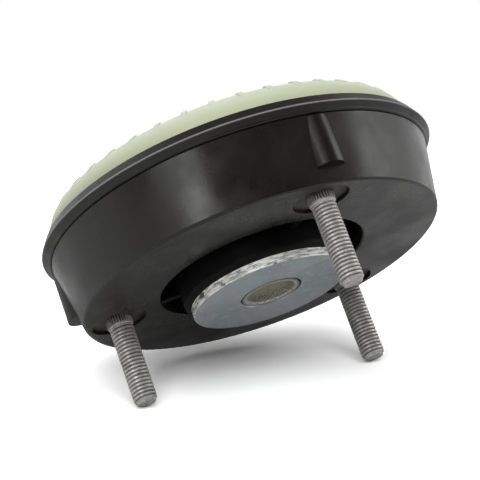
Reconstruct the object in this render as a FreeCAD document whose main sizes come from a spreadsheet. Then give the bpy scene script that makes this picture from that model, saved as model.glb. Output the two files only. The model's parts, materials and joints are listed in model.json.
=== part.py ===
import FreeCAD, Part
import math
import os
import Sketcher

# Strut top mount with an integrated spring bearing.
# Millimetres, +Z up through the studs. The origin is the centre of the studded
# mounting face, on the axis of the strut rod. Depths are measured down from that face.

SIZES = {
    # Studded housing
    "housing_depth": 23.4,
    "seam_rise": 1.3,
    "face_margin": 11.5,
    "wall_draft": 3.7,
    "spigot_step": 0.8,
    "face_edge_round": 1.0,
    "recess_to_stud": 15.2,
    "recess_edge_round": 0.8,
    "recess_lip_depth": 3.2,
    "collar_cover": 5.0,
    "outer_wall": 7.4,
    "coring_roof_depth": 9.0,
    "housing_rib_count": 12,
    "housing_rib_width": 2.4,
    "housing_rib_end_gap": 3.0,
    "moulded_root": 1.0,
    "window_radius": 9.4,
    # Lugs on the outer wall
    "lug_radius": 5.0,
    "lug_proud": 0.9,
    "lug_top_depth": 5.3,
    "lug_foot_gap": 0.5,
    # Steel core plate with its drawn collar
    "plate_skin": 1.2,
    "plate_thickness": 3.0,
    "plate_inset": 1.5,
    "collar_thickness": 3.0,
    "collar_rise": 4.4,
    # Studs
    "stud_count": 3,
    "stud_circle_diameter": 100.4,
    "thread_diameter": 8.0,
    "stud_projection": 29.4,
    "stud_tip_length": 1.8,
    "stud_tip_inset": 0.7,
    "knurl_diameter": 9.0,
    "knurl_projection": 1.5,
    "stud_head_diameter": 13.0,
    "stud_head_thickness": 3.0,
    # Bush can, rubber bush, rod plate and sleeve
    "can_seat_step": 2.5,
    "can_thickness": 1.3,
    "can_bottom_rise": 1.9,
    "recess_gap": 6.6,
    "boss_height": 5.7,
    "boss_edge_round": 2.0,
    "recess_floor_depth": 9.0,
    "rod_plate_cover": 1.5,
    "can_skin": 3.2,
    "relief_roof_depth": 14.5,
    "web_width": 2.4,
    "web_top_depth": 1.2,
    "rod_plate_radius": 23.0,
    "rod_plate_thickness": 3.0,
    "rod_plate_depth": 9.5,
    "sleeve_radius": 9.85,
    "sleeve_bore_radius": 8.1,
    "sleeve_inset": 0.1,
    "sleeve_drop": 0.1,
    "sleeve_edge_bevel": 0.4,
    # Rebound washer, which lies a little off centre on the sleeve
    "washer_radius": 26.75,
    "washer_thickness": 3.0,
    "washer_hole_radius": 10.4,
    "washer_edge_bevel": 0.3,
    "washer_shift_left": 0.15,
    "washer_shift_back": 0.1,
    # Bearing: balls, races and cage
    "ball_count": 24,
    "ball_radius": 3.0,
    "ball_circle_inset": 13.0,
    "race_gap": 0.3,
    "race_thickness": 1.2,
    "race_land": 2.25,
    "cage_thickness": 1.6,
    "cage_rim": 0.9,
    "cage_pocket_gap": 0.2,
    # Bearing cap with the flange rim
    "cap_web": 2.7,
    "rim_lip_height": 1.0,
    "rim_lip_gap": 0.2,
    "rim_bead": 0.9,
    "rim_cone_start": 0.3,
    "flange_overhang": 2.5,
    "flange_edge_drop": 1.6,
    "flange_band": 3.3,
    "flange_band_taper": 2.1,
    "cap_bore_inset": 12.0,
    "cap_skirt_thickness": 2.2,
    "snap_bead_reach": 0.9,
    "snap_bead_height": 1.4,
    # Seals
    "outer_seal_inset": 1.8,
    "outer_seal_width": 2.4,
    "outer_seal_seat": 1.5,
    "seal_body_drop": 0.7,
    "seal_lip_drop": 2.4,
    "seal_lip_thickness": 0.6,
    "inner_seal_width": 2.0,
    "inner_seal_height": 1.8,
    "inner_lip_reach": 1.2,
    # Lower ring
    "running_gap": 0.4,
    "ring_inset": 4.2,
    "ring_skirt_thickness": 2.2,
    "ring_skirt_height": 2.4,
    "ring_skirt_taper": 0.4,
    "ring_shoulder_inset": 5.7,
    "ring_shoulder_round": 8.0,
    "ring_gutter_slope": 1.4,
    "ring_floor": 2.3,
    "ring_catch_thickness": 2.95,
    "pilot_thickness": 2.5,
    "pilot_height": 3.6,
    "ring_rib_count": 40,
    "ring_rib_width": 1.8,
    "ring_rib_height": 0.6,
    "ring_rib_root": 0.4,
    "ring_rib_end_flat": 0.2,
    "ring_rib_phase": 5.4,
}

doc = FreeCAD.newDocument("strut_top_mount")
sheet = doc.addObject("Spreadsheet::Sheet", "Sizes")
for row, (alias, number) in enumerate(SIZES.items(), start=1):
    sheet.set(f"A{row}", alias)
    sheet.set(f"B{row}", str(number))
    sheet.setAlias(f"B{row}", alias)
doc.recompute()


class Size:
    """A number together with the formula on the sheet that drives it."""

    def __init__(self, value, formula):
        self.value = float(value)
        self.formula = formula

    def __add__(self, other):
        other = as_size(other)
        return Size(self.value + other.value, f"({self.formula} + {other.formula})")

    def __radd__(self, other):
        return as_size(other) + self

    def __sub__(self, other):
        other = as_size(other)
        return Size(self.value - other.value, f"({self.formula} - {other.formula})")

    def __rsub__(self, other):
        return as_size(other) - self

    def __mul__(self, other):
        other = as_size(other)
        return Size(self.value * other.value, f"({self.formula} * {other.formula})")

    def __rmul__(self, other):
        return as_size(other) * self

    def __truediv__(self, other):
        other = as_size(other)
        return Size(self.value / other.value, f"({self.formula} / {other.formula})")

    def __rtruediv__(self, other):
        return as_size(other) / self

    def __neg__(self):
        return Size(-self.value, f"(0 - {self.formula})")


def as_size(number):
    return number if isinstance(number, Size) else Size(number, repr(float(number)))


def size(alias):
    return Size(sheet.get(alias), f"Sizes.{alias}")


def root(number):
    return Size(math.sqrt(number.value), f"sqrt({number.formula})")


# Sketch and feature helpers


def new_body(name):
    return doc.addObject("PartDesign::Body", name)


def origin_feature(body, role):
    for feature in body.Origin.OriginFeatures:
        if feature.Role == role:
            return feature
    raise ValueError(role)


def new_sketch(body, name, plane, across=None, height=None):
    """A sketch on an origin plane of its own body, moved along X or up Z."""
    sketch = body.newObject("Sketcher::SketchObject", name)
    sketch.AttachmentSupport = (origin_feature(body, plane), [""])
    sketch.MapMode = "FlatFace"
    if across is not None:
        sketch.AttachmentOffset.Base.x = across.value
        sketch.setExpression("AttachmentOffset.Base.x", across.formula)
    if height is not None:
        sketch.setExpression("AttachmentOffset.Base.z", height.formula)
    return sketch


def bind(sketch, kind, target, number):
    """One dimension of the sketch, driven by the sheet."""
    index = sketch.addConstraint(Sketcher.Constraint(kind, *target, number.value))
    sketch.setExpression(f"Constraints[{index}]", number.formula)


def place_point(sketch, geometry, end, across, up):
    """Fix one point by its two coordinates; a plain zero lies on the axis."""
    for number, kind, axis in ((across, "DistanceX", -2), (up, "DistanceY", -1)):
        number = as_size(number)
        if number.value == 0.0:
            sketch.addConstraint(Sketcher.Constraint("PointOnObject", geometry, end, axis))
        else:
            bind(sketch, kind, (-1, 1, geometry, end), number)


def arc_between(first, last, radius, turn):
    """The short arc between two points; turn is +1 anticlockwise and -1 clockwise."""
    chord = last - first
    rise = math.sqrt(radius ** 2 - chord.Length ** 2 / 4.0)
    side = FreeCAD.Vector(-chord.y, chord.x, 0) / chord.Length
    centre = (first + last) / 2.0 + side * rise * turn
    start, end = (first, last) if turn > 0 else (last, first)
    angles = [math.atan2(point.y - centre.y, point.x - centre.x) for point in (start, end)]
    circle = Part.Circle(centre, FreeCAD.Vector(0, 0, 1), radius)
    return Part.ArcOfCircle(circle, angles[0], angles[1])


def draw_outline(sketch, corners):
    """A closed outline. A corner is (x, z), or (x, z, radius, turn) where an arc ends there."""
    points = [FreeCAD.Vector(as_size(c[0]).value, as_size(c[1]).value, 0) for c in corners]
    starts = []
    ends = []
    for index, corner in enumerate(corners):
        before = points[index - 1]
        here = points[index]
        if len(corner) == 2:
            sketch.addGeometry(Part.LineSegment(before, here))
            starts.append(1)
            ends.append(2)
            continue
        radius, turn = as_size(corner[2]), corner[3]
        sketch.addGeometry(arc_between(before, here, radius.value, turn))
        starts.append(1 if turn > 0 else 2)
        ends.append(2 if turn > 0 else 1)
    for index, corner in enumerate(corners):
        following = (index + 1) % len(corners)
        joint = (index, ends[index], following, starts[following])
        sketch.addConstraint(Sketcher.Constraint("Coincident", *joint))
        place_point(sketch, index, ends[index], corner[0], corner[1])
        if len(corner) == 4:
            bind(sketch, "Radius", (index,), as_size(corner[2]))


def revolve(body, name, corners, across=None, cut=False):
    """Turn an outline about the sketch's own upright axis."""
    sketch = new_sketch(body, f"{name}_profile", "XZ_Plane", across)
    draw_outline(sketch, corners)
    feature = body.newObject("PartDesign::Groove" if cut else "PartDesign::Revolution", name)
    feature.Profile = sketch
    feature.ReferenceAxis = (sketch, ["V_Axis"])
    feature.Angle = 360
    doc.recompute()
    return feature


def drill(body, name, across, top, depth, radius):
    """A round pocket, cut down from the height top."""
    sketch = new_sketch(body, f"{name}_circle", "XY_Plane", across, top)
    circle = Part.Circle(FreeCAD.Vector(0, 0, 0), FreeCAD.Vector(0, 0, 1), radius.value)
    sketch.addGeometry(circle)
    sketch.addConstraint(Sketcher.Constraint("Coincident", 0, 3, -1, 1))
    bind(sketch, "Radius", (0,), radius)
    pocket = body.newObject("PartDesign::Pocket", name)
    pocket.Profile = sketch
    pocket.setExpression("Length", depth.formula)
    doc.recompute()
    return pocket


def upright_plate(body, name, corners, width, turn=None):
    """A plate through the Z axis, its thickness shared to both sides; turn is in degrees."""
    sketch = new_sketch(body, f"{name}_outline", "XZ_Plane")
    if turn is not None:
        upright = FreeCAD.Vector(0, 1, 0)
        sketch.AttachmentOffset = FreeCAD.Placement(FreeCAD.Vector(), FreeCAD.Rotation(upright, turn.value))
        sketch.setExpression("AttachmentOffset.Rotation.Angle", turn.formula)
    draw_outline(sketch, corners)
    pad = body.newObject("PartDesign::Pad", name)
    pad.Profile = sketch
    pad.SideType = "Symmetric"
    pad.setExpression("Length", width.formula)
    doc.recompute()
    return pad


def repeat_round(body, feature, count):
    """Repeat a feature round the Z axis and make the result the body's tip."""
    pattern = body.newObject("PartDesign::PolarPattern", f"{feature.Name}_pattern")
    pattern.Originals = [feature]
    pattern.Axis = (origin_feature(body, "Z_Axis"), [""])
    pattern.Angle = 360
    pattern.setExpression("Occurrences", count.formula)
    body.Tip = pattern
    doc.recompute()
    return pattern


def cut_away(label, base, tool):
    cut = doc.addObject("Part::Cut", label)
    cut.Base = base
    cut.Tool = tool
    return cut


# Levels and radii that several pieces share; the radii follow from the stud circle

face_level = as_size(0.0)
floor_level = -size("housing_depth")
seam_level = floor_level + size("seam_rise")
plate_top = -size("plate_skin")
plate_bottom = plate_top - size("plate_thickness")
washer_bottom = size("boss_height")
washer_top = washer_bottom + size("washer_thickness")
can_top = -size("recess_lip_depth")
can_bottom = floor_level + size("can_bottom_rise")

stud_radius_out = size("stud_circle_diameter") / 2
face_radius = stud_radius_out + size("face_margin")
wall_radius = face_radius + size("wall_draft")
spigot_radius = wall_radius - size("spigot_step")
recess_radius = stud_radius_out - size("recess_to_stud")
boss_radius = recess_radius - size("recess_gap")
can_radius = recess_radius + size("can_seat_step")
can_inner_radius = can_radius - size("can_thickness")
collar_radius = can_radius + size("collar_thickness")

flange_radius = wall_radius + size("flange_overhang")
ring_skirt_radius = flange_radius - size("ring_inset")
ball_circle_radius = ring_skirt_radius - size("ball_circle_inset")
cap_bore_radius = ball_circle_radius - size("cap_bore_inset")
race_outer = size("ball_radius") + size("race_gap") + size("race_thickness")
race_inner = size("ball_radius") + size("race_gap")
ball_level = floor_level - size("cap_web") - race_outer
upper_land = ball_level + size("race_land")
lower_land = ball_level - size("race_land")
land_offset = root(race_outer * race_outer - size("race_land") * size("race_land"))
groove_start = ball_circle_radius - land_offset
groove_end = ball_circle_radius + land_offset
flange_edge = floor_level - size("flange_edge_drop")
flange_bottom = flange_edge - size("flange_band")
skirt_radius = cap_bore_radius + size("cap_skirt_thickness")
ring_bore_radius = skirt_radius + size("running_gap")
bead_radius = skirt_radius + size("snap_bead_reach")
pilot_bore_radius = bead_radius + size("running_gap")
pilot_radius = pilot_bore_radius + size("pilot_thickness")
catch_level = lower_land - size("ring_catch_thickness")
bead_top = catch_level - size("running_gap")
skirt_bottom = bead_top - size("snap_bead_height")
ring_top = flange_bottom - size("running_gap")
ring_skirt_bore = ring_skirt_radius - size("ring_skirt_thickness")
seat_level = ball_level - race_outer - size("ring_floor")
outer_seal_edge = ring_skirt_bore - size("outer_seal_inset")
outer_seal_start = outer_seal_edge - size("outer_seal_width")
outer_seal_bottom = flange_bottom - size("seal_body_drop")
outer_lip_bottom = outer_seal_bottom - size("seal_lip_drop")


def make_core_plate():
    """Pressed steel plate: a flat ring for the studs and a drawn collar for the bush can."""
    body = new_body("core_plate")
    collar_bottom = floor_level + size("collar_rise")
    plate_radius = face_radius - size("plate_inset")
    revolve(body, "plate_blank", [
        (can_radius, plate_top),
        (can_radius, collar_bottom),
        (collar_radius, collar_bottom),
        (collar_radius, plate_bottom),
        (plate_radius, plate_bottom),
        (plate_radius, plate_top),
    ])
    hole = drill(body, "stud_hole", stud_radius_out, plate_top, size("plate_thickness"),
                 size("knurl_diameter") / 2)
    repeat_round(body, hole, size("stud_count"))
    return body


def make_housing(core_plate):
    """Moulded housing: drafted wall, lugs, recess lip, stud windows and cored underside."""
    body = new_body("housing_moulding")
    edge = size("face_edge_round")
    lip = size("recess_edge_round")
    revolve(body, "housing_blank", [
        (recess_radius, can_top),
        (recess_radius, -lip),
        (recess_radius + lip, face_level, lip, -1),
        (face_radius - edge, face_level),
        (face_radius, -edge, edge, -1),
        (wall_radius, seam_level),
        (spigot_radius, seam_level),
        (spigot_radius, floor_level),
        (can_radius, floor_level),
        (can_radius, can_top),
    ])
    groove_inner = collar_radius + size("collar_cover")
    groove_outer = wall_radius - size("outer_wall")
    groove_roof = -size("coring_roof_depth")
    revolve(body, "coring", [
        (groove_inner, floor_level),
        (groove_inner, groove_roof),
        (groove_outer, groove_roof),
        (groove_outer, floor_level),
    ], cut=True)
    add_housing_ribs(body, groove_inner, groove_outer, groove_roof)
    add_lugs(body)
    window = drill(body, "window", stud_radius_out, face_level, size("plate_skin"), size("window_radius"))
    repeat_round(body, window, size("stud_count"))
    pocket_depth = size("coring_roof_depth") - size("plate_skin") - size("plate_thickness")
    pocket = drill(body, "head_pocket", stud_radius_out, plate_bottom, pocket_depth,
                   size("stud_head_diameter") / 2)
    repeat_round(body, pocket, size("stud_count"))
    bore = drill(body, "stud_bore", stud_radius_out, plate_top, size("plate_thickness"),
                 size("knurl_diameter") / 2)
    repeat_round(body, bore, size("stud_count"))
    return cut_away("housing", body, core_plate)


def add_housing_ribs(body, groove_inner, groove_outer, groove_roof):
    """Radial ribs across the cored groove; the first is half a step from the first stud."""
    inner_end = groove_inner - size("moulded_root")
    outer_end = groove_outer + size("moulded_root")
    rib_top = groove_roof + size("moulded_root")
    rib_bottom = floor_level + size("housing_rib_end_gap")
    rib = upright_plate(body, "housing_rib", [
        (inner_end, rib_bottom),
        (outer_end, rib_bottom),
        (outer_end, rib_top),
        (inner_end, rib_top),
    ], size("housing_rib_width"), turn=180 / size("housing_rib_count"))
    repeat_round(body, rib, size("housing_rib_count"))


def add_lugs(body):
    """Half-round ridges in line with the studs, upright against the drafted wall."""
    across = wall_radius + size("lug_proud") - size("lug_radius")
    lug_top = -size("lug_top_depth")
    sketch = new_sketch(body, "lug_outline", "XY_Plane", across, lug_top)
    radius = size("lug_radius")
    circle = Part.Circle(FreeCAD.Vector(0, 0, 0), FreeCAD.Vector(0, 0, 1), radius.value)
    sketch.addGeometry(Part.ArcOfCircle(circle, -math.pi / 2, math.pi / 2))
    top = FreeCAD.Vector(0, radius.value, 0)
    bottom = FreeCAD.Vector(0, -radius.value, 0)
    sketch.addGeometry(Part.LineSegment(top, bottom))
    sketch.addConstraint(Sketcher.Constraint("Coincident", 0, 2, 1, 1))
    sketch.addConstraint(Sketcher.Constraint("Coincident", 0, 1, 1, 2))
    sketch.addConstraint(Sketcher.Constraint("Coincident", 0, 3, -1, 1))
    sketch.addConstraint(Sketcher.Constraint("PointOnObject", 0, 1, -2))
    sketch.addConstraint(Sketcher.Constraint("PointOnObject", 0, 2, -2))
    bind(sketch, "Radius", (0,), radius)
    lug = body.newObject("PartDesign::Pad", "lug")
    lug.Profile = sketch
    lug.Reversed = True
    lug.setExpression("Length", (lug_top - seam_level - size("lug_foot_gap")).formula)
    doc.recompute()
    repeat_round(body, lug, size("stud_count"))


def make_studs():
    """Press-in studs: head under the plate, knurl through it, thread above."""
    body = new_body("mounting_studs")
    head = size("stud_head_diameter") / 2
    knurl = size("knurl_diameter") / 2
    thread = size("thread_diameter") / 2
    head_bottom = plate_bottom - size("stud_head_thickness")
    tip_start = size("stud_projection") - size("stud_tip_length")
    stud = revolve(body, "stud", [
        (0, head_bottom),
        (head, head_bottom),
        (head, plate_bottom),
        (knurl, plate_bottom),
        (knurl, size("knurl_projection")),
        (thread, size("knurl_projection")),
        (thread, tip_start),
        (thread - size("stud_tip_inset"), size("stud_projection")),
        (0, size("stud_projection")),
    ], across=stud_radius_out)
    repeat_round(body, stud, size("stud_count"))
    return body


def make_bush_can():
    """Steel ring bonded round the bush and pressed into the plate's collar."""
    body = new_body("bush_can")
    revolve(body, "can_ring", [
        (can_inner_radius, can_top),
        (can_inner_radius, can_bottom),
        (can_radius, can_bottom),
        (can_radius, can_top),
    ])
    return body


def make_rod_plate():
    """Steel disc inside the bush's boss, welded round the sleeve."""
    body = new_body("rod_plate")
    top = -size("rod_plate_depth")
    bottom = top - size("rod_plate_thickness")
    revolve(body, "rod_plate_disc", [
        (size("sleeve_radius"), top),
        (size("sleeve_radius"), bottom),
        (size("rod_plate_radius"), bottom),
        (size("rod_plate_radius"), top),
    ])
    return body


def make_inner_sleeve():
    """Steel sleeve that the strut rod passes through."""
    body = new_body("inner_sleeve")
    bevel = size("sleeve_edge_bevel")
    top = washer_top - size("sleeve_inset")
    bottom = floor_level - size("sleeve_drop")
    bore = size("sleeve_bore_radius")
    revolve(body, "sleeve_tube", [
        (bore, bottom + bevel),
        (bore + bevel, bottom),
        (size("sleeve_radius"), bottom),
        (size("sleeve_radius"), top),
        (bore + bevel, top),
        (bore, top - bevel),
    ])
    return body


def make_rubber_bush(rod_plate):
    """Rubber bush: boss under the washer, shear ring, skin on the can and three webs."""
    body = new_body("bush_moulding")
    edge = size("boss_edge_round")
    recess_floor = -size("recess_floor_depth")
    relief_inner = size("rod_plate_radius") + size("rod_plate_cover")
    relief_outer = can_inner_radius - size("can_skin")
    relief_roof = -size("relief_roof_depth")
    revolve(body, "bush_blank", [
        (size("sleeve_radius"), can_bottom),
        (relief_inner, can_bottom),
        (relief_inner, relief_roof),
        (relief_outer, relief_roof),
        (relief_outer, can_bottom),
        (can_inner_radius, can_bottom),
        (can_inner_radius, can_top),
        (recess_radius, can_top),
        (recess_radius, recess_floor),
        (boss_radius, recess_floor),
        (boss_radius, size("boss_height") - edge),
        (boss_radius - edge, size("boss_height"), edge, 1),
        (size("sleeve_radius"), size("boss_height")),
    ])
    half_width = size("web_width") / 2
    lip_end = root(recess_radius * recess_radius - half_width * half_width)
    skin_end = (recess_radius + can_inner_radius) / 2
    web_start = boss_radius - size("moulded_root")
    web_top = -size("web_top_depth")
    web_bottom = recess_floor - size("moulded_root")
    web = upright_plate(body, "bush_web", [
        (web_start, web_bottom),
        (skin_end, web_bottom),
        (skin_end, can_top),
        (lip_end, can_top),
        (lip_end, web_top),
        (web_start, web_top),
    ], size("web_width"))
    repeat_round(body, web, size("stud_count"))
    return cut_away("rubber_bush", body, rod_plate)


def make_rebound_washer():
    """Zinc-plated disc on the boss; its hole clears the sleeve and it lies off centre."""
    body = new_body("rebound_washer")
    bevel = size("washer_edge_bevel")
    rim = size("washer_radius")
    hole = size("washer_hole_radius")
    revolve(body, "washer_disc", [
        (hole, washer_bottom),
        (rim - bevel, washer_bottom),
        (rim, washer_bottom + bevel),
        (rim, washer_top - bevel),
        (rim - bevel, washer_top),
        (hole, washer_top),
    ])
    body.setExpression("Placement.Base.x", (-size("washer_shift_left")).formula)
    body.setExpression("Placement.Base.y", size("washer_shift_back").formula)
    return body


def make_bearing_cap():
    """Upper half of the bearing: flange rim round the housing's foot, race seat and inner skirt."""
    body = new_body("bearing_cap")
    lip_top = floor_level + size("rim_lip_height")
    lip_bore = spigot_radius + size("rim_lip_gap")
    lip_outer = wall_radius + size("rim_bead")
    bead = size("rim_bead")
    cone_start = floor_level + size("rim_cone_start")
    seal_top = upper_land + size("outer_seal_seat")
    revolve(body, "cap_ring", [
        (flange_radius - size("flange_band_taper"), flange_bottom),
        (flange_radius, flange_edge),
        (lip_outer, cone_start),
        (lip_outer - bead, lip_top, bead, 1),
        (lip_bore, lip_top),
        (lip_bore, floor_level),
        (cap_bore_radius, floor_level),
        (cap_bore_radius, skirt_bottom),
        (skirt_radius, skirt_bottom),
        (bead_radius, skirt_bottom + size("snap_bead_reach") / 2),
        (bead_radius, bead_top),
        (skirt_radius, bead_top),
        (skirt_radius, upper_land),
        (groove_start, upper_land),
        (groove_end, upper_land, race_outer, -1),
        (outer_seal_start, upper_land),
        (outer_seal_start, seal_top),
        (outer_seal_edge, seal_top),
        (outer_seal_edge, flange_bottom),
    ])
    return body


def make_race(name, side):
    """A pressed steel race: an arc band about the ball centre, above or below it."""
    body = new_body(name)
    land = ball_level + size("race_land") * side
    inner_land = ball_level + size("race_land") * race_inner / race_outer * side
    inner_offset = land_offset * race_inner / race_outer
    revolve(body, f"{name}_band", [
        (groove_start, land),
        (groove_end, land, race_outer, -side),
        (ball_circle_radius + inner_offset, inner_land),
        (ball_circle_radius - inner_offset, inner_land, race_inner, side),
    ])
    return body


def make_ball_cage():
    """Flat ring with a round pocket for each ball."""
    body = new_body("ball_cage")
    pocket_radius = size("ball_radius") + size("cage_pocket_gap")
    inner = ball_circle_radius - pocket_radius - size("cage_rim")
    outer = ball_circle_radius + pocket_radius + size("cage_rim")
    top = ball_level + size("cage_thickness") / 2
    bottom = ball_level - size("cage_thickness") / 2
    revolve(body, "cage_ring", [
        (inner, bottom),
        (outer, bottom),
        (outer, top),
        (inner, top),
    ])
    pocket = drill(body, "cage_pocket", ball_circle_radius, top, size("cage_thickness"), pocket_radius)
    repeat_round(body, pocket, size("ball_count"))
    return body


def make_balls():
    """The ring of steel balls."""
    body = new_body("bearing_balls")
    radius = size("ball_radius")
    sketch = new_sketch(body, "ball_half_disc", "XZ_Plane", ball_circle_radius)
    centre = FreeCAD.Vector(0, ball_level.value, 0)
    circle = Part.Circle(centre, FreeCAD.Vector(0, 0, 1), radius.value)
    sketch.addGeometry(Part.ArcOfCircle(circle, -math.pi / 2, math.pi / 2))
    rise = FreeCAD.Vector(0, radius.value, 0)
    sketch.addGeometry(Part.LineSegment(centre + rise, centre - rise))
    sketch.addConstraint(Sketcher.Constraint("Coincident", 0, 2, 1, 1))
    sketch.addConstraint(Sketcher.Constraint("Coincident", 0, 1, 1, 2))
    for point in (1, 2, 3):
        sketch.addConstraint(Sketcher.Constraint("PointOnObject", 0, point, -2))
    bind(sketch, "DistanceY", (-1, 1, 0, 3), ball_level)
    bind(sketch, "Radius", (0,), radius)
    ball = body.newObject("PartDesign::Revolution", "ball")
    ball.Profile = sketch
    ball.ReferenceAxis = (sketch, ["V_Axis"])
    ball.Angle = 360
    doc.recompute()
    repeat_round(body, ball, size("ball_count"))
    return body


def make_outer_seal():
    """Lip seal in the cap's groove; the lip runs beside the lower ring's skirt."""
    body = new_body("outer_seal")
    seat_top = upper_land + size("outer_seal_seat")
    lip_edge = ring_skirt_bore - size("running_gap")
    revolve(body, "outer_seal_ring", [
        (outer_seal_start, seat_top),
        (outer_seal_start, outer_seal_bottom),
        (outer_seal_edge - size("seal_lip_thickness"), outer_seal_bottom),
        (lip_edge - size("seal_lip_thickness"), outer_lip_bottom),
        (lip_edge, outer_lip_bottom),
        (outer_seal_edge, outer_seal_bottom),
        (outer_seal_edge, seat_top),
    ])
    return body


def make_inner_seal():
    """Lip seal on the cap's skirt; the lip runs just above the lower ring's rim."""
    body = new_body("inner_seal")
    body_radius = skirt_radius + size("inner_seal_width")
    body_bottom = upper_land - size("inner_seal_height")
    lip_bottom = lower_land + size("running_gap")
    lip_reach = body_radius + size("inner_lip_reach")
    revolve(body, "inner_seal_ring", [
        (skirt_radius, upper_land),
        (skirt_radius, body_bottom),
        (body_radius - size("seal_lip_thickness"), body_bottom),
        (lip_reach - size("seal_lip_thickness"), lip_bottom),
        (lip_reach, lip_bottom),
        (body_radius, body_bottom + size("seal_lip_thickness")),
        (body_radius, upper_land),
    ])
    return body


def make_lower_ring():
    """Turning half of the bearing: outer skirt, race seat, spring seat, pilot collar and ribs."""
    body = new_body("lower_ring")
    shoulder_start = ring_top - size("ring_skirt_height")
    shoulder_radius = ring_skirt_radius - size("ring_skirt_taper")
    seat_edge = shoulder_radius - size("ring_shoulder_inset")
    pilot_bottom = seat_level - size("pilot_height")
    gutter_edge = outer_seal_start + size("ring_gutter_slope")
    revolve(body, "ring_blank", [
        (ring_skirt_radius, ring_top),
        (ring_skirt_bore, ring_top),
        (ring_skirt_bore, outer_lip_bottom - size("running_gap")),
        (gutter_edge, lower_land),
        (groove_end, lower_land),
        (groove_start, lower_land, race_outer, -1),
        (ring_bore_radius, lower_land),
        (ring_bore_radius, catch_level),
        (pilot_bore_radius, catch_level),
        (pilot_bore_radius, pilot_bottom),
        (pilot_radius, pilot_bottom),
        (pilot_radius, seat_level),
        (seat_edge, seat_level),
        (shoulder_radius, shoulder_start, size("ring_shoulder_round"), 1),
    ])
    sunk = size("ring_rib_root")
    rib_start = pilot_radius - sunk
    rib_bottom = seat_level - size("ring_rib_height")
    rib_round = size("ring_shoulder_round") + size("ring_rib_height")
    rib = upright_plate(body, "ring_rib", [
        (rib_start, seat_level + sunk),
        (rib_start, rib_bottom),
        (seat_edge + size("ring_rib_end_flat"), rib_bottom),
        (shoulder_radius - sunk, shoulder_start - 2 * sunk, rib_round, 1),
        (seat_edge - sunk, seat_level + sunk),
    ], size("ring_rib_width"), turn=size("ring_rib_phase"))
    repeat_round(body, rib, size("ring_rib_count"))
    return body


def check_document():
    """Stop if any object failed or any shape is empty or broken."""
    doc.recompute()
    for item in doc.Objects:
        if "Invalid" in item.State or "Error" in item.State:
            raise RuntimeError(f"{item.Name} failed: {item.State}")


def export_parts(pieces):
    os.makedirs("parts", exist_ok=True)
    for node, piece in pieces.items():
        piece.Label = node
        shape = piece.Shape
        if shape.isNull() or not shape.isValid() or not shape.Solids:
            raise RuntimeError(f"{node} has no valid solid")
        shape.exportStep(f"parts/{node}.step")
        box = shape.BoundBox
        print(f"{node}: {len(shape.Solids)} solid(s), {shape.Volume / 1000:.2f} cm3, "
              f"z {box.ZMin:.2f} to {box.ZMax:.2f}, x {box.XMin:.2f} to {box.XMax:.2f}")


def main():
    core_plate = make_core_plate()
    rod_plate = make_rod_plate()
    pieces = {
        "core_plate": core_plate,
        "housing": make_housing(core_plate),
        "mounting_studs": make_studs(),
        "bush_can": make_bush_can(),
        "rod_plate": rod_plate,
        "inner_sleeve": make_inner_sleeve(),
        "rubber_bush": make_rubber_bush(rod_plate),
        "rebound_washer": make_rebound_washer(),
        "bearing_cap": make_bearing_cap(),
        "upper_race": make_race("upper_race", 1),
        "lower_race": make_race("lower_race", -1),
        "ball_cage": make_ball_cage(),
        "bearing_balls": make_balls(),
        "outer_seal": make_outer_seal(),
        "inner_seal": make_inner_seal(),
        "lower_ring": make_lower_ring(),
    }
    check_document()
    export_parts(pieces)


main()
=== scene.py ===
import json
import math

import bpy
import numpy as np
from mathutils import Matrix, Vector, noise


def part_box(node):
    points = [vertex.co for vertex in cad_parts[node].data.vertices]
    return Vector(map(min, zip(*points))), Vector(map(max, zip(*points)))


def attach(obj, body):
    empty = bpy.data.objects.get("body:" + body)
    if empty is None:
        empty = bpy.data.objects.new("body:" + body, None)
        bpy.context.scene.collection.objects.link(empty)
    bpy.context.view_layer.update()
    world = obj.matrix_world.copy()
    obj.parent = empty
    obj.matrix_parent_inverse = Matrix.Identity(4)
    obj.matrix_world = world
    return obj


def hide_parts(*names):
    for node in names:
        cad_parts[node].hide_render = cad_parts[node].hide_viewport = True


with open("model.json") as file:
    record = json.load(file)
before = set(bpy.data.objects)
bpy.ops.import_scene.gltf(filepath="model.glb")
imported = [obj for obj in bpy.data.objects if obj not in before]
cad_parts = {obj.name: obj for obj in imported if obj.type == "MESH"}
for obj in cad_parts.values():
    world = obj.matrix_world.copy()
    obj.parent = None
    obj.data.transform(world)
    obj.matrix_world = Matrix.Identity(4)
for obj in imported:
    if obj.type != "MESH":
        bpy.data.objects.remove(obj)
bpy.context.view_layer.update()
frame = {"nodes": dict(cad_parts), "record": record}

MM = 0.001

# Camera, solved from the outlines in the photograph
CAMERA_PLACE = Vector((-6.95, -716.58, 242.65)) * MM
CAMERA_TARGET = Vector((3.54, -3.90, -10.83)) * MM
PHOTO_UP = Vector((-0.3491, -0.3095, -0.8845))
CAMERA_LENS = 172.57
SENSOR_WIDTH = 36.0
CLIP_START = 0.01

# The part stands on two stud tips and on the edge of its face between them
REST_STUDS = (0.0, 120.0)
REST_EDGE_TURN = 60.0
FACE_RADIUS = 61.4 * MM

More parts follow.
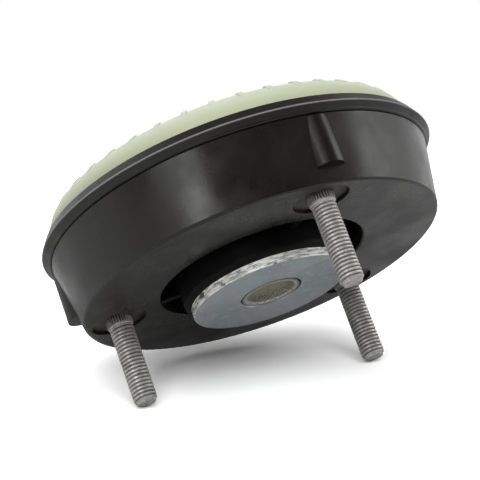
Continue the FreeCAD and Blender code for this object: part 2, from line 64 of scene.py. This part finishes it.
# Studs
STUD_TURNS = (0.0, 120.0, 240.0)
THREAD_RADIUS = 4.0 * MM
THREAD_PITCH = 1.25 * MM
THREAD_DEPTH = 0.65 * MM
THREAD_RUN_IN = 0.4 * MM
THREAD_RUN_OUT = 0.9 * MM
ROWS_PER_PITCH = 14
KNURL_RADIUS = 4.5 * MM
KNURL_TOP = 1.1 * MM
KNURL_TEETH = 30
COLUMNS_PER_TOOTH = 6
TOOTH_DEPTH = 0.6 * MM
SHOULDER_RADIUS = 4.3 * MM
SHOULDER_TOP = 1.9 * MM
SHOULDER_BEVEL = 0.08 * MM
SHOULDER_TAPER = 0.25 * MM
TIP_RADIUS = 3.3 * MM
TIP_LENGTH = 1.8 * MM
TIP_ROUND = 0.5 * MM
TIP_ROUND_ROWS = 4
HEAD_RADIUS = 6.5 * MM
HEAD_THICKNESS = 3.0 * MM
HEAD_BEVEL = 0.4 * MM
MARK_SIZE = 1.6 * MM
MARK_DEPTH = 0.025 * MM

# Thread section, as shares of half a pitch
ROOT_FLAT = 0.06
THREAD_FLANK = 0.55

# Gap between two knurl teeth, as shares of their pitch
GAP_HALF_WIDTH = 0.3
GAP_FLANK = 0.1

# Rebound washer: its section runs up the torn and the sheared part of the rim, over the
# rolled edge, across the face and down the hole
WASHER_HOLE = 10.4 * MM
WASHER_COLUMNS = 420
RIM_BAND = 0.45 * MM
TORN_INSET = 0.12 * MM
TORN_START = 0.35 * MM
TORN_HEIGHT = 1.2 * MM
TORN_ROWS = 5
SHEARED_START = 0.15 * MM
SHEARED_ROWS = 7
ROLLOVER = 0.35 * MM
ROLLOVER_ROWS = 5
FACE_INSET = 1.2 * MM
FACE_END = 0.5 * MM
FACE_ROWS = 12
HOLE_START = 0.6 * MM
HOLE_END = 0.3 * MM
HOLE_ROWS = 6
UNDERSIDE_START = 0.2 * MM

# Corners of the section, as (mm out from the rim, mm above the underside, roughness) and
# (mm out from the hole, mm above the face, roughness)
RIM_FOOT = ((-0.25, 0.0, 0.3), (-0.05, 0.2, 0.9))
HOLE_EDGE = ((0.12, -0.08, 0.15), (0.0, -0.3, 0.3))

# How much of the torn part's roughness the other parts have
SHEARED_SHARE = 0.35
ROLLOVER_SHARE = 0.25
HOLE_SHARE = 0.4

# Roughness of the washer's edge: small tears, longer waves and what both take off the rim
TEAR_SIZE = 1.1 * MM
TEAR_DEPTH = 0.11 * MM
TEAR_SEED = 5
WAVE_SIZE = 6.0 * MM
WAVE_DEPTH = 0.08 * MM
WAVE_SEED = 6
RIM_LOSS = 0.06 * MM

# How far one seed moves the noise, in bumps
SEED_STEPS = (7.3, 3.1, 5.7)

# Edges of turned pieces sharper than this stay sharp, in degrees
SHARP_ANGLE = 42

# Black mouldings, with a painted highlight: a pale ring of colour round the flange's widest edge
HOUSING_BLACK = (0.0060, 0.0052, 0.0042)
HOUSING_ROUGHNESS = 0.3
CAP_BLACK = (0.0068, 0.0060, 0.0052)
CAP_ROUGHNESS = 0.42
EDGE_HIGHLIGHT_COLOR = (0.17, 0.168, 0.165)
EDGE_HIGHLIGHT_START = 67.6 * MM
EDGE_HIGHLIGHT_END = 67.8 * MM

# Where the sleeve's finish and its painted shade change, by height and by radius
MOUTH_START = 4.6 * MM
MOUTH_FULL = 6.4 * MM
SLEEVE_END_START = 8.7 * MM
SLEEVE_END_FULL = 8.9 * MM
SLEEVE_SHADE_START = 9.0 * MM
SLEEVE_SHADE_FULL = 9.15 * MM

# Heights between which the lower ring turns greener
GREENER_START = -34.0 * MM
GREENER_FULL = -29.5 * MM

BEVEL_SAMPLES = 6

# Floor: its colour to the camera and to all other rays, and where it fades out
FLOOR_SEEN = (1.34, 1.34, 1.34, 1.0)
FLOOR_COLOR = (0.45, 0.45, 0.45, 1.0)
FLOOR_SOLID = 0.26
FLOOR_RADIUS = 0.48
FLOOR_SIDES = 64
FLOOR_GAP = 0.05 * MM

# The room as light: its strength by direction, between the cosines given as edges
WHITE = (1.0, 1.0, 1.0, 1.0)
WORLD_FRONT = 0.06
WORLD_BACK = 1.0
WORLD_FRONT_EDGE = 0.6
WORLD_BACK_EDGE = -0.2
CEILING_SHARE = 0.12
CEILING_EDGE = 0.8
WALL_EDGE = 0.55

# Softboxes as (name, right, up, toward the camera, width, height, power, what they light)
SOFTBOXES = [
    ("overhead", -0.40, 1.25, -0.10, 1.70, 1.70, 19.0, "matt"),
    ("right_card", 1.08, 0.50, -0.06, 0.50, 0.70, 2.2, "shine"),
    ("left_soft", -0.66, 0.22, 0.75, 0.20, 0.60, 0.4, "shine"),
    ("front_fill", 0.05, 0.60, 1.00, 1.40, 0.60, 16.0, "matt"),
    ("front_left", -0.48, 0.24, 0.90, 0.20, 0.60, 2.1, "shine"),
    ("front_up", -0.35, 0.75, 0.62, 0.55, 0.22, 1.1, "shine"),
    ("left_card", -0.92, -0.05, 0.45, 0.60, 0.80, 0.4, "shine"),
]


class Nodes:
    """Short calls on the node tree of a material or world."""

    def __init__(self, owner):
        owner.use_nodes = True
        self.tree = owner.node_tree
        self.tree.nodes.clear()

    def new(self, kind, **values):
        """A node with some of its inputs set by name."""
        node = self.tree.nodes.new(kind)
        for name, value in values.items():
            node.inputs[name.replace("_", " ")].default_value = value
        return node

    def link(self, output, socket):
        self.tree.links.new(output, socket)

    def span(self, value, start, end, low=0.0, high=1.0, smooth=False):
        """A value moved from the span start to end onto low to high, and held at its ends."""
        node = self.new("ShaderNodeMapRange", From_Min=start, From_Max=end, To_Min=low, To_Max=high)
        if smooth:
            node.interpolation_type = "SMOOTHSTEP"
        self.link(value, node.inputs["Value"])
        return node.outputs["Result"]

    def math(self, operation, first, second):
        node = self.tree.nodes.new("ShaderNodeMath")
        node.operation = operation
        self.link(first, node.inputs[0])
        self.link(second, node.inputs[1])
        return node.outputs["Value"]

    def length(self, vector):
        node = self.tree.nodes.new("ShaderNodeVectorMath")
        node.operation = "LENGTH"
        self.link(vector, node.inputs[0])
        return node.outputs["Value"]

    def mix_shaders(self, share, first, second):
        node = self.tree.nodes.new("ShaderNodeMixShader")
        self.link(share, node.inputs["Fac"])
        self.link(first, node.inputs[1])
        self.link(second, node.inputs[2])
        return node.outputs["Shader"]


class Paint(Nodes):
    """A material with one main shader, and short calls for its textures."""

    def __init__(self, name, color, roughness, **values):
        self.material = bpy.data.materials.new(name)
        super().__init__(self.material)
        output = self.new("ShaderNodeOutputMaterial")
        self.shader = self.new("ShaderNodeBsdfPrincipled", Roughness=roughness, **values)
        self.shader.inputs["Base Color"].default_value = (*color, 1.0)
        self.link(self.shader.outputs["BSDF"], output.inputs["Surface"])
        self.coordinates = self.new("ShaderNodeTexCoord")

    def noise(self, scale, detail=3.0, roughness=0.5, stretch=(1.0, 1.0, 1.0)):
        """Noise with its scale in bumps a metre, on the piece's own coordinates."""
        mapping = self.new("ShaderNodeMapping", Scale=stretch)
        self.link(self.coordinates.outputs["Object"], mapping.inputs["Vector"])
        texture = self.new("ShaderNodeTexNoise", Scale=scale, Detail=detail, Roughness=roughness)
        self.link(mapping.outputs["Vector"], texture.inputs["Vector"])
        return texture.outputs["Fac"]

    def height(self):
        """The height above the studded face, in metres."""
        split = self.new("ShaderNodeSeparateXYZ")
        self.link(self.coordinates.outputs["Object"], split.inputs["Vector"])
        return split.outputs["Z"]

    def radius(self):
        """The distance from the rod's axis, in metres."""
        flat = self.new("ShaderNodeMapping", Scale=(1.0, 1.0, 0.0))
        self.link(self.coordinates.outputs["Object"], flat.inputs["Vector"])
        return self.length(flat.outputs["Vector"])

    def blend(self, share, first, second):
        """A colour between two; each is three numbers or another colour socket."""
        node = self.tree.nodes.new("ShaderNodeMix")
        node.data_type = "RGBA"
        self.link(share, node.inputs["Factor"])
        for socket, color in ((node.inputs[6], first), (node.inputs[7], second)):
            if isinstance(color, tuple):
                socket.default_value = (*color, 1.0)
            else:
                self.link(color, socket)
        return node.outputs[2]

    def soft_edges(self, radius):
        """Light the sharp edges as if they were rounded."""
        node = self.new("ShaderNodeBevel", Radius=radius)
        node.samples = BEVEL_SAMPLES
        return node.outputs["Normal"]

    def bump(self, height, depth, below=None):
        """Bump whose full height is depth metres; below is the surface that it lies on."""
        node = self.new("ShaderNodeBump", Distance=depth)
        self.link(height, node.inputs["Height"])
        if below is not None:
            self.link(below, node.inputs["Normal"])
        self.drive("Normal", node.outputs["Normal"])
        return node.outputs["Normal"]

    def drive(self, name, socket):
        self.link(socket, self.shader.inputs[name])


def moulded_black(name, color, roughness):
    """Satin black moulding: clouded gloss, flow marks, fine grain and a little dust.

    The flange's widest edge gets a thin pale band of colour, a painted highlight.
    """
    paint = Paint(name, color, roughness)
    flow = paint.noise(90.0, 4.0, 0.6, (1.0, 1.0, 0.5))
    dust = paint.noise(420.0, 6.0, 0.7)
    cloud = paint.noise(48.0, 3.0, 0.55)
    lighter = tuple(1.8 * channel + 0.003 for channel in color)
    share = paint.math("MULTIPLY", paint.span(flow, 0.42, 0.72), paint.span(dust, 0.45, 0.7))
    # Painted highlight: a pale band of colour along the flange's widest edge
    line = paint.span(paint.radius(), EDGE_HIGHLIGHT_START, EDGE_HIGHLIGHT_END)
    plain = paint.blend(share, color, lighter)
    paint.drive("Base Color", paint.blend(line, plain, EDGE_HIGHLIGHT_COLOR))
    paint.drive("Roughness", paint.span(cloud, 0.38, 0.62, roughness - 0.07, roughness + 0.12))
    coarse = paint.bump(flow, 0.06 * MM)
    paint.bump(paint.noise(5200.0, 2.0), 0.005 * MM, coarse)
    return paint.material


def bush_rubber():
    """Matt black rubber with a fine grain and paler patches."""
    paint = Paint("bush_rubber", (0.003, 0.003, 0.003), 0.55, Specular_IOR_Level=0.14)
    grain = paint.noise(1500.0, 5.0, 0.65)
    patch = paint.span(paint.noise(160.0, 3.0), 0.4, 0.7)
    paint.drive("Base Color", paint.blend(patch, (0.002, 0.002, 0.002), (0.005, 0.0047, 0.0045)))
    paint.drive("Roughness", paint.span(grain, 0.3, 0.7, 0.42, 0.6))
    paint.bump(grain, 0.05 * MM, paint.soft_edges(0.3 * MM))
    return paint.material


def pressed_steel():
    """Bare pressed plate, brownish grey and dull, darkened as painted shade in the face's windows.
    """
    paint = Paint("pressed_steel", (0.2, 0.185, 0.155), 0.5, Metallic=0.8)
    stain = paint.noise(260.0, 5.0, 0.65)
    # Painted shade: both tones are darker than bare plate, standing in for the shade in the face's
    # windows
    dark, light = (0.06, 0.054, 0.044), (0.15, 0.14, 0.12)
    paint.drive("Base Color", paint.blend(paint.span(stain, 0.35, 0.68), dark, light))
    paint.drive("Roughness", paint.span(stain, 0.3, 0.7, 0.42, 0.62))
    paint.bump(paint.noise(2600.0, 4.0), 0.03 * MM)
    return paint.material


def turned_steel():
    """The sleeve: a bright ring at its end with painted shade outside it, a rough mottled mouth,
    then a smooth bore.
    """
    paint = Paint("turned_steel", (0.4, 0.39, 0.34), 0.38, Metallic=0.6)
    speck = paint.noise(1700.0, 5.0, 0.7)
    smooth = paint.noise(240.0, 3.0, 0.5, (1.0, 1.0, 0.3))
    mouth = paint.span(paint.height(), MOUTH_START, MOUTH_FULL)
    end = paint.span(paint.radius(), SLEEVE_END_START, SLEEVE_END_FULL)
    # Painted shade: out from its bright end ring the sleeve is darkened, where the gap in the
    # washer's hole lies
    outer = paint.span(paint.radius(), SLEEVE_SHADE_START, SLEEVE_SHADE_FULL)
    bore = paint.blend(paint.span(smooth, 0.3, 0.7), (0.62, 0.62, 0.53), (0.78, 0.77, 0.69))
    mottled = paint.blend(paint.span(speck, 0.38, 0.62), (0.22, 0.21, 0.185), (0.74, 0.72, 0.66))
    walls = paint.blend(mouth, bore, mottled)
    ring = paint.blend(outer, (0.7, 0.7, 0.67), (0.3, 0.3, 0.29))
    paint.drive("Base Color", paint.blend(end, walls, ring))
    paint.drive("Roughness", paint.span(speck, 0.3, 0.7, 0.3, 0.5))
    paint.bump(paint.math("MULTIPLY", speck, mouth), 0.15 * MM, paint.soft_edges(0.2 * MM))
    return paint.material


def zinc_stud():
    """Matt zinc coating, mottled and stained, with painted shade between the teeth and in the
    thread roots.
    """
    paint = Paint("zinc_stud", (0.46, 0.455, 0.425), 0.42, Metallic=0.6)
    patch = paint.noise(620.0, 4.0, 0.7)
    stain = paint.noise(210.0, 3.0, 0.6)
    grain = paint.noise(3600.0, 3.0, 0.6)
    hollow = paint.new("ShaderNodeAttribute")
    hollow.attribute_name = "hollow"
    dark, light = (0.36, 0.355, 0.335), (0.64, 0.635, 0.6)
    clean = paint.blend(paint.span(patch, 0.32, 0.68), dark, light)
    worn = paint.blend(paint.span(stain, 0.5, 0.68, 0.0, 0.5), clean, (0.2, 0.195, 0.18))
    # Painted shade: the thread roots and the gaps between the knurl teeth are darkened
    painted_root_shade = paint.span(hollow.outputs["Fac"], 0.5, 1.0, 0.0, 0.7)
    paint.drive("Base Color", paint.blend(painted_root_shade, worn, (0.05, 0.048, 0.043)))
    paint.drive("Roughness", paint.span(grain, 0.3, 0.7, 0.34, 0.5))
    coarse = paint.bump(patch, 0.06 * MM)
    paint.bump(grain, 0.02 * MM, coarse)
    return paint.material


def zinc_plate():
    """Blue-grey zinc plate on the washer's faces, with faint spangle and stains."""
    paint = Paint("zinc_plate", (0.5, 0.55, 0.58), 0.34, Metallic=0.9)
    spangle = paint.noise(330.0, 5.0, 0.6)
    stain = paint.noise(70.0, 3.0, 0.5)
    base = paint.blend(paint.span(stain, 0.35, 0.65), (0.44, 0.5, 0.53), (0.56, 0.61, 0.63))
    paint.drive("Base Color", paint.blend(paint.span(spangle, 0.5, 0.72), base, (0.66, 0.7, 0.71)))
    paint.drive("Roughness", paint.span(spangle, 0.3, 0.7, 0.27, 0.42))
    coarse = paint.bump(stain, 0.04 * MM)
    paint.bump(paint.noise(2400.0, 3.0, 0.6), 0.008 * MM, coarse)
    return paint.material


def zinc_edge():
    """The washer's punched edge: bright torn metal in layers, with dark nicks."""
    paint = Paint("zinc_edge", (0.82, 0.82, 0.8), 0.3, Metallic=0.3)
    tear = paint.noise(260.0, 4.0, 0.6, (1.0, 1.0, 5.0))
    nick = paint.noise(170.0, 5.0, 0.7, (1.0, 1.0, 2.5))
    bright = paint.blend(paint.span(tear, 0.38, 0.58), (0.42, 0.42, 0.4), (1.0, 1.0, 0.97))
    paint.drive("Base Color", paint.blend(paint.span(nick, 0.57, 0.63), bright, (0.12, 0.115, 0.1)))
    paint.drive("Roughness", paint.span(tear, 0.3, 0.7, 0.22, 0.48))
    paint.bump(tear, 0.12 * MM)
    return paint.material


def bearing_steel():
    """Polished steel of the races and balls."""
    paint = Paint("bearing_steel", (0.62, 0.62, 0.62), 0.16, Metallic=1.0)
    paint.drive("Roughness", paint.span(paint.noise(700.0), 0.3, 0.7, 0.12, 0.24))
    return paint.material


def cage_plastic():
    """Natural nylon, slightly translucent."""
    paint = Paint(
        "cage_plastic",
        (0.72, 0.69, 0.62),
        0.45,
        Subsurface_Weight=0.2,
        Subsurface_Scale=0.002,
    )
    tint = paint.blend(paint.noise(200.0), (0.68, 0.65, 0.57), (0.76, 0.74, 0.68))
    paint.drive("Base Color", tint)
    paint.bump(paint.noise(3000.0, 2.0), 0.01 * MM)
    return paint.material


def pale_green():
    """Pale green natural plastic that light soaks into; greener down by the flange."""
    paint = Paint(
        "ring_pale_green",
        (0.36, 0.38, 0.30),
        0.4,
        Subsurface_Weight=0.35,
        Subsurface_Scale=0.003,
        Subsurface_Radius=(1.0, 1.0, 0.6),
    )
    cloud = paint.noise(55.0, 3.0, 0.5)
    top = paint.blend(cloud, (0.38, 0.4, 0.32), (0.45, 0.465, 0.38))
    near_flange = paint.span(paint.height(), GREENER_START, GREENER_FULL)
    paint.drive("Base Color", paint.blend(near_flange, top, (0.37, 0.4, 0.26)))
    paint.drive("Roughness", paint.span(cloud, 0.3, 0.7, 0.34, 0.48))
    paint.bump(paint.noise(1400.0, 3.0), 0.012 * MM, paint.soft_edges(0.3 * MM))
    return paint.material


def around_axis(radius, turn, height=0.0):
    """The point at this radius and height, turned so many degrees round the rod's axis."""
    angle = math.radians(turn)
    return Vector((radius * math.cos(angle), radius * math.sin(angle), height))


def stud_circle_radius():
    mounts = {mount["name"]: mount for mount in frame["record"]["mounts"]}
    return mounts["body_studs"]["dims"]["pcd_mm"] / 2 * MM


def column_turns(columns):
    """The angle of each column of a turned piece, in radians."""
    return np.arange(columns) * math.tau / columns


def turned_mesh(name, radii, heights, centre, ring=False, hollows=None):
    """A skin of rows round an upright axis; the arrays are rows by columns.

    Hollows, from 0 to 1, are kept for the material, which darkens them as painted shade.
    """
    rows, columns = radii.shape
    turns = column_turns(columns)
    across = centre.x + radii * np.cos(turns)
    along = centre.y + radii * np.sin(turns)
    upright = np.repeat(heights[:, None], columns, axis=1)
    points = np.stack([across, along, upright], axis=-1).reshape(-1, 3)
    row = np.arange(rows if ring else rows - 1)[:, None] * columns
    next_row = (row + columns) % (rows * columns)
    column = np.arange(columns)[None, :]
    next_column = (column + 1) % columns
    corners = [row + column, row + next_column, next_row + next_column, next_row + column]
    faces = np.stack(corners, axis=-1).reshape(-1, 4).tolist()
    if not ring:
        faces.append(list(range(columns))[::-1])
        faces.append(list(range((rows - 1) * columns, rows * columns)))
    mesh = bpy.data.meshes.new(name)
    mesh.from_pydata(points.tolist(), [], faces)
    if hollows is not None:
        shade = mesh.attributes.new("hollow", "FLOAT", "POINT")
        shade.data.foreach_set("value", hollows.ravel().astype(np.float32))
    piece = bpy.data.objects.new(name, mesh)
    bpy.context.scene.collection.objects.link(piece)
    mesh.shade_smooth()
    mesh.set_sharp_from_angle(angle=math.radians(SHARP_ANGLE))
    return piece


def grid_noise(columns, heights, radius, bump_size, seed):
    """Smooth noise of about -1 to 1 on a turned grid, the same on every run."""
    offset = Vector([seed * step for step in SEED_STEPS])
    values = np.zeros((len(heights), columns))
    for i, height in enumerate(heights):
        for j, turn in enumerate(column_turns(columns)):
            place = Vector((radius * math.cos(turn), radius * math.sin(turn), height))
            values[i, j] = noise.noise(place / bump_size + offset)
    return values


def stud_rows(low, high):
    """The stud's bare profile as (radius, height), from its head to its tip."""
    plate_bottom = low + HEAD_THICKNESS
    rows = [
        (HEAD_RADIUS - HEAD_BEVEL, low),
        (HEAD_RADIUS, low + HEAD_BEVEL),
        (HEAD_RADIUS, plate_bottom),
        (KNURL_RADIUS, plate_bottom),
        (KNURL_RADIUS, KNURL_TOP),
        (SHOULDER_RADIUS, KNURL_TOP + SHOULDER_BEVEL),
        (SHOULDER_RADIUS, SHOULDER_TOP - SHOULDER_TAPER),
        (THREAD_RADIUS, SHOULDER_TOP),
    ]
    tip_start = high - TIP_LENGTH
    count = round((tip_start - SHOULDER_TOP) / THREAD_PITCH * ROWS_PER_PITCH)
    rows += [(THREAD_RADIUS, z) for z in np.linspace(SHOULDER_TOP, tip_start, count + 1)[1:]]
    taper = THREAD_RADIUS - TIP_RADIUS
    taper_length = TIP_LENGTH - TIP_ROUND
    count = round(taper_length / THREAD_PITCH * ROWS_PER_PITCH)
    for share in np.linspace(0.0, 1.0, count + 1)[1:]:
        radius = TIP_RADIUS + taper * math.cos(share * math.pi / 2)
        rows.append((radius, tip_start + taper_length * share))
    for angle in np.linspace(0.0, math.pi / 2, TIP_ROUND_ROWS + 1)[1:]:
        radius = TIP_RADIUS - TIP_ROUND * (1.0 - math.cos(angle))
        rows.append((radius, high - TIP_ROUND * (1.0 - math.sin(angle))))
    return rows


def thread_height(turns, heights):
    """0 at the thread's root and 1 on its crest, for a right-hand thread."""
    phase = (heights / THREAD_PITCH - turns / math.tau) % 1.0
    slope = np.abs(2.0 * phase - 1.0)
    share = np.clip((slope - ROOT_FLAT) / THREAD_FLANK, 0.0, 1.0)
    return share * share * (3.0 - 2.0 * share)


def tooth_gap(turns):
    """1 in the gaps between the knurl's teeth and 0 on the teeth."""
    phase = (turns * KNURL_TEETH / math.tau) % 1.0
    return np.clip((GAP_HALF_WIDTH - np.abs(phase - 0.5)) / GAP_FLANK, 0.0, 1.0)


def make_stud(number, turn):
    """One stud with its knurl teeth and M8 thread."""
    low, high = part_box("mounting_studs")
    rows = stud_rows(low.z, high.z)
    columns = KNURL_TEETH * COLUMNS_PER_TOOTH
    turns = column_turns(columns)
    heights = np.array([row[1] for row in rows])
    radii = np.repeat(np.array([row[0] for row in rows])[:, None], columns, axis=1)
    knurled = (radii[:, 0] == KNURL_RADIUS) & (heights > low.z)
    radii[knurled] -= TOOTH_DEPTH * tooth_gap(turns)
    run_in = np.clip((heights - SHOULDER_TOP) / THREAD_RUN_IN, 0.0, 1.0)
    run_out = np.clip((high.z - 0.5 * TIP_ROUND - heights) / THREAD_RUN_OUT, 0.0, 1.0)
    hollows = 1.0 - thread_height(turns[None, :], heights[:, None])
    hollows *= (run_in * run_out)[:, None]
    radii -= THREAD_DEPTH * hollows
    hollows[knurled] = tooth_gap(turns)
    marks = grid_noise(columns, heights, THREAD_RADIUS, MARK_SIZE, number)
    radii += MARK_DEPTH * marks * run_in[:, None]
    centre = around_axis(stud_circle_radius(), turn)
    return turned_mesh(f"stud_{number}", radii, heights, centre, hollows=hollows)


def washer_rows(low, high, rim):
    """The washer's section as (radius, height, roughness), up its rim and round."""
    torn_top = low + TORN_HEIGHT
    torn = np.linspace(low + TORN_START, torn_top, TORN_ROWS)
    sheared = np.linspace(torn_top + SHEARED_START, high - ROLLOVER, SHEARED_ROWS)
    face = np.linspace(rim - FACE_INSET, WASHER_HOLE + FACE_END, FACE_ROWS)
    hole = np.linspace(high - HOLE_START, low + HOLE_END, HOLE_ROWS)
    rows = [(rim + out * MM, low + rise * MM, share) for out, rise, share in RIM_FOOT]
    rows += [(rim - TORN_INSET, z, 1.0) for z in torn]
    rows += [(rim, z, SHEARED_SHARE) for z in sheared]
    for lift in np.linspace(1.0 / ROLLOVER_ROWS, 1.0, ROLLOVER_ROWS):
        angle = lift * math.pi / 2
        radius = rim - ROLLOVER * (1.0 - math.cos(angle))
        height = high - ROLLOVER * (1.0 - math.sin(angle))
        rows.append((radius, height, ROLLOVER_SHARE * (1.0 - lift)))
    rows += [(radius, high, 0.0) for radius in face]
    rows += [(WASHER_HOLE + out * MM, high + rise * MM, share) for out, rise, share in HOLE_EDGE]
    rows += [(WASHER_HOLE, z, HOLE_SHARE) for z in hole]
    rows += [(WASHER_HOLE + UNDERSIDE_START, low, 0.0), ((rim + WASHER_HOLE) / 2, low, 0.0)]
    return rows


def make_washer():
    """Rebound washer with a rolled face edge and a torn punched rim."""
    low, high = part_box("rebound_washer")
    centre = (low + high) / 2
    rim = (high.x - low.x) / 2
    rows = washer_rows(low.z, high.z, rim)
    heights = np.array([row[1] for row in rows])
    tears = TEAR_DEPTH * grid_noise(WASHER_COLUMNS, heights, rim, TEAR_SIZE, TEAR_SEED)
    waves = WAVE_DEPTH * grid_noise(WASHER_COLUMNS, heights, rim, WAVE_SIZE, WAVE_SEED)
    share = np.array([row[2] for row in rows])[:, None]
    radii = np.array([row[0] for row in rows])[:, None] + share * (tears + waves - RIM_LOSS)
    washer = turned_mesh("washer_plate", radii, heights, centre, ring=True)
    washer.data.materials.append(zinc_plate())
    washer.data.materials.append(zinc_edge())
    for face in washer.data.polygons:
        out = face.center - centre
        if math.hypot(out.x, out.y) > rim - RIM_BAND:
            face.material_index = 1
    return washer


def dress_nodes():
    """Every solid that stays gets the finish of the real piece."""
    steel = pressed_steel()
    polished = bearing_steel()
    rubber = bush_rubber()
    finishes = {
        "housing": moulded_black("moulded_black", HOUSING_BLACK, HOUSING_ROUGHNESS),
        "bearing_cap": moulded_black("cap_black", CAP_BLACK, CAP_ROUGHNESS),
        "rubber_bush": rubber,
        "outer_seal": rubber,
        "inner_seal": rubber,
        "core_plate": steel,
        "bush_can": steel,
        "rod_plate": steel,
        "inner_sleeve": turned_steel(),
        "upper_race": polished,
        "lower_race": polished,
        "bearing_balls": polished,
        "ball_cage": cage_plastic(),
        "lower_ring": pale_green(),
    }
    for node, material in finishes.items():
        piece = frame["nodes"][node]
        piece.data.materials.clear()
        piece.data.materials.append(material)


def add_detailed(piece, node):
    """Put a piece in the place of its plain solid."""
    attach(piece, "mount_body")
    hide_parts(node)


def add_studs_and_washer():
    finish = zinc_stud()
    for number, turn in enumerate(STUD_TURNS, start=1):
        stud = make_stud(number, turn)
        stud.data.materials.append(finish)
        add_detailed(stud, "mounting_studs")
    add_detailed(make_washer(), "rebound_washer")


def photo_axes():
    """The photograph's right, its up and the direction toward the camera."""
    toward = (CAMERA_PLACE - CAMERA_TARGET).normalized()
    right = PHOTO_UP.cross(toward).normalized()
    return right, toward.cross(right), toward


def add_camera():
    data = bpy.data.cameras.new("photo_camera")
    data.lens = CAMERA_LENS
    data.sensor_width = SENSOR_WIDTH
    data.clip_start = CLIP_START
    camera = bpy.data.objects.new("photo_camera", data)
    turn = Matrix(photo_axes()).transposed().to_4x4()
    camera.matrix_world = Matrix.Translation(CAMERA_PLACE) @ turn
    bpy.context.scene.collection.objects.link(camera)
    bpy.context.scene.camera = camera


def rest_down():
    """The direction of gravity in the photograph, from the three points it rests on."""
    tip_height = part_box("mounting_studs")[1].z
    first, second = (around_axis(stud_circle_radius(), turn, tip_height) for turn in REST_STUDS)
    edge = around_axis(FACE_RADIUS, REST_EDGE_TURN)
    return (edge - first).cross(second - first).normalized()


def floor_material():
    """Matt floor: lighter to the camera than as light, clear from below, faded far away."""
    material = bpy.data.materials.new("floor_white")
    nodes = Nodes(material)
    output = nodes.new("ShaderNodeOutputMaterial")
    paths = nodes.new("ShaderNodeLightPath")
    geometry = nodes.new("ShaderNodeNewGeometry")
    coordinates = nodes.new("ShaderNodeTexCoord")
    matt = nodes.new("ShaderNodeBsdfDiffuse", Color=FLOOR_COLOR)
    seen = nodes.new("ShaderNodeBsdfDiffuse", Color=FLOOR_SEEN)
    clear = nodes.new("ShaderNodeBsdfTransparent")
    distance = nodes.length(coordinates.outputs["Object"])
    fade = nodes.span(distance, FLOOR_SOLID, FLOOR_RADIUS, smooth=True)
    unseen = nodes.math("MAXIMUM", geometry.outputs["Backfacing"], paths.outputs["Is Shadow Ray"])
    share = nodes.math("MAXIMUM", unseen, fade)
    camera_ray = paths.outputs["Is Camera Ray"]
    solid = nodes.mix_shaders(camera_ray, matt.outputs["BSDF"], seen.outputs["BSDF"])
    shader = nodes.mix_shaders(share, solid, clear.outputs["BSDF"])
    nodes.link(shader, output.inputs["Surface"])
    return material


def add_floor():
    """The pale surface that the part rests on in the photograph."""
    down = rest_down()
    lowest = 0.0
    for name in ("stud_1", "stud_2", "stud_3", "housing"):
        for vertex in bpy.data.objects[name].data.vertices:
            lowest = max(lowest, vertex.co.dot(down))
    bpy.ops.mesh.primitive_circle_add(vertices=FLOOR_SIDES, radius=FLOOR_RADIUS, fill_type="NGON")
    floor = bpy.context.object
    floor.name = "floor"
    turn = (-down).to_track_quat("Z", "Y").to_matrix().to_4x4()
    floor.matrix_world = Matrix.Translation(down * (lowest + FLOOR_GAP)) @ turn
    floor.data.materials.append(floor_material())


def add_world():
    """White to the camera; as light it is a white backdrop under a dark ceiling and front."""
    world = bpy.data.worlds.new("studio")
    bpy.context.scene.world = world
    nodes = Nodes(world)
    output = nodes.new("ShaderNodeOutputWorld")
    paths = nodes.new("ShaderNodeLightPath")
    coordinates = nodes.new("ShaderNodeTexCoord")
    seen = nodes.new("ShaderNodeBackground", Color=WHITE)
    room = nodes.new("ShaderNodeBackground", Color=WHITE)
    _, up, toward = photo_axes()
    shares = []
    for axis, start, end, low, high in (
        (toward, WORLD_FRONT_EDGE, WORLD_BACK_EDGE, WORLD_FRONT, WORLD_BACK),
        (up, CEILING_EDGE, WALL_EDGE, CEILING_SHARE, 1.0),
    ):
        facing = nodes.new("ShaderNodeVectorMath")
        facing.operation = "DOT_PRODUCT"
        facing.inputs[1].default_value = axis
        nodes.link(coordinates.outputs["Generated"], facing.inputs[0])
        shares.append(nodes.span(facing.outputs["Value"], start, end, low, high))
    nodes.link(nodes.math("MULTIPLY", *shares), room.inputs["Strength"])
    camera_ray = paths.outputs["Is Camera Ray"]
    shader = nodes.mix_shaders(camera_ray, room.outputs["Background"], seen.outputs["Background"])
    nodes.link(shader, output.inputs["Surface"])


def add_lights():
    """Softboxes that face the part; each lights matt surfaces or shows in shiny ones."""
    right, up, toward = photo_axes()
    for name, across, rise, near, width, height, power, lights in SOFTBOXES:
        data = bpy.data.lights.new(name, "AREA")
        data.shape = "RECTANGLE"
        data.size = width
        data.size_y = height
        data.energy = power
        place = right * across + up * rise + toward * near
        lamp = bpy.data.objects.new(name, data)
        lamp.location = place
        lamp.rotation_mode = "QUATERNION"
        lamp.rotation_quaternion = place.to_track_quat("Z", "Y")
        lamp.visible_diffuse = lights != "shine"
        lamp.visible_glossy = lights != "matt"
        bpy.context.scene.collection.objects.link(lamp)


def main():
    dress_nodes()
    add_studs_and_washer()
    add_camera()
    add_floor()
    add_world()
    add_lights()
    bpy.context.scene.view_settings.view_transform = "Standard"


main()
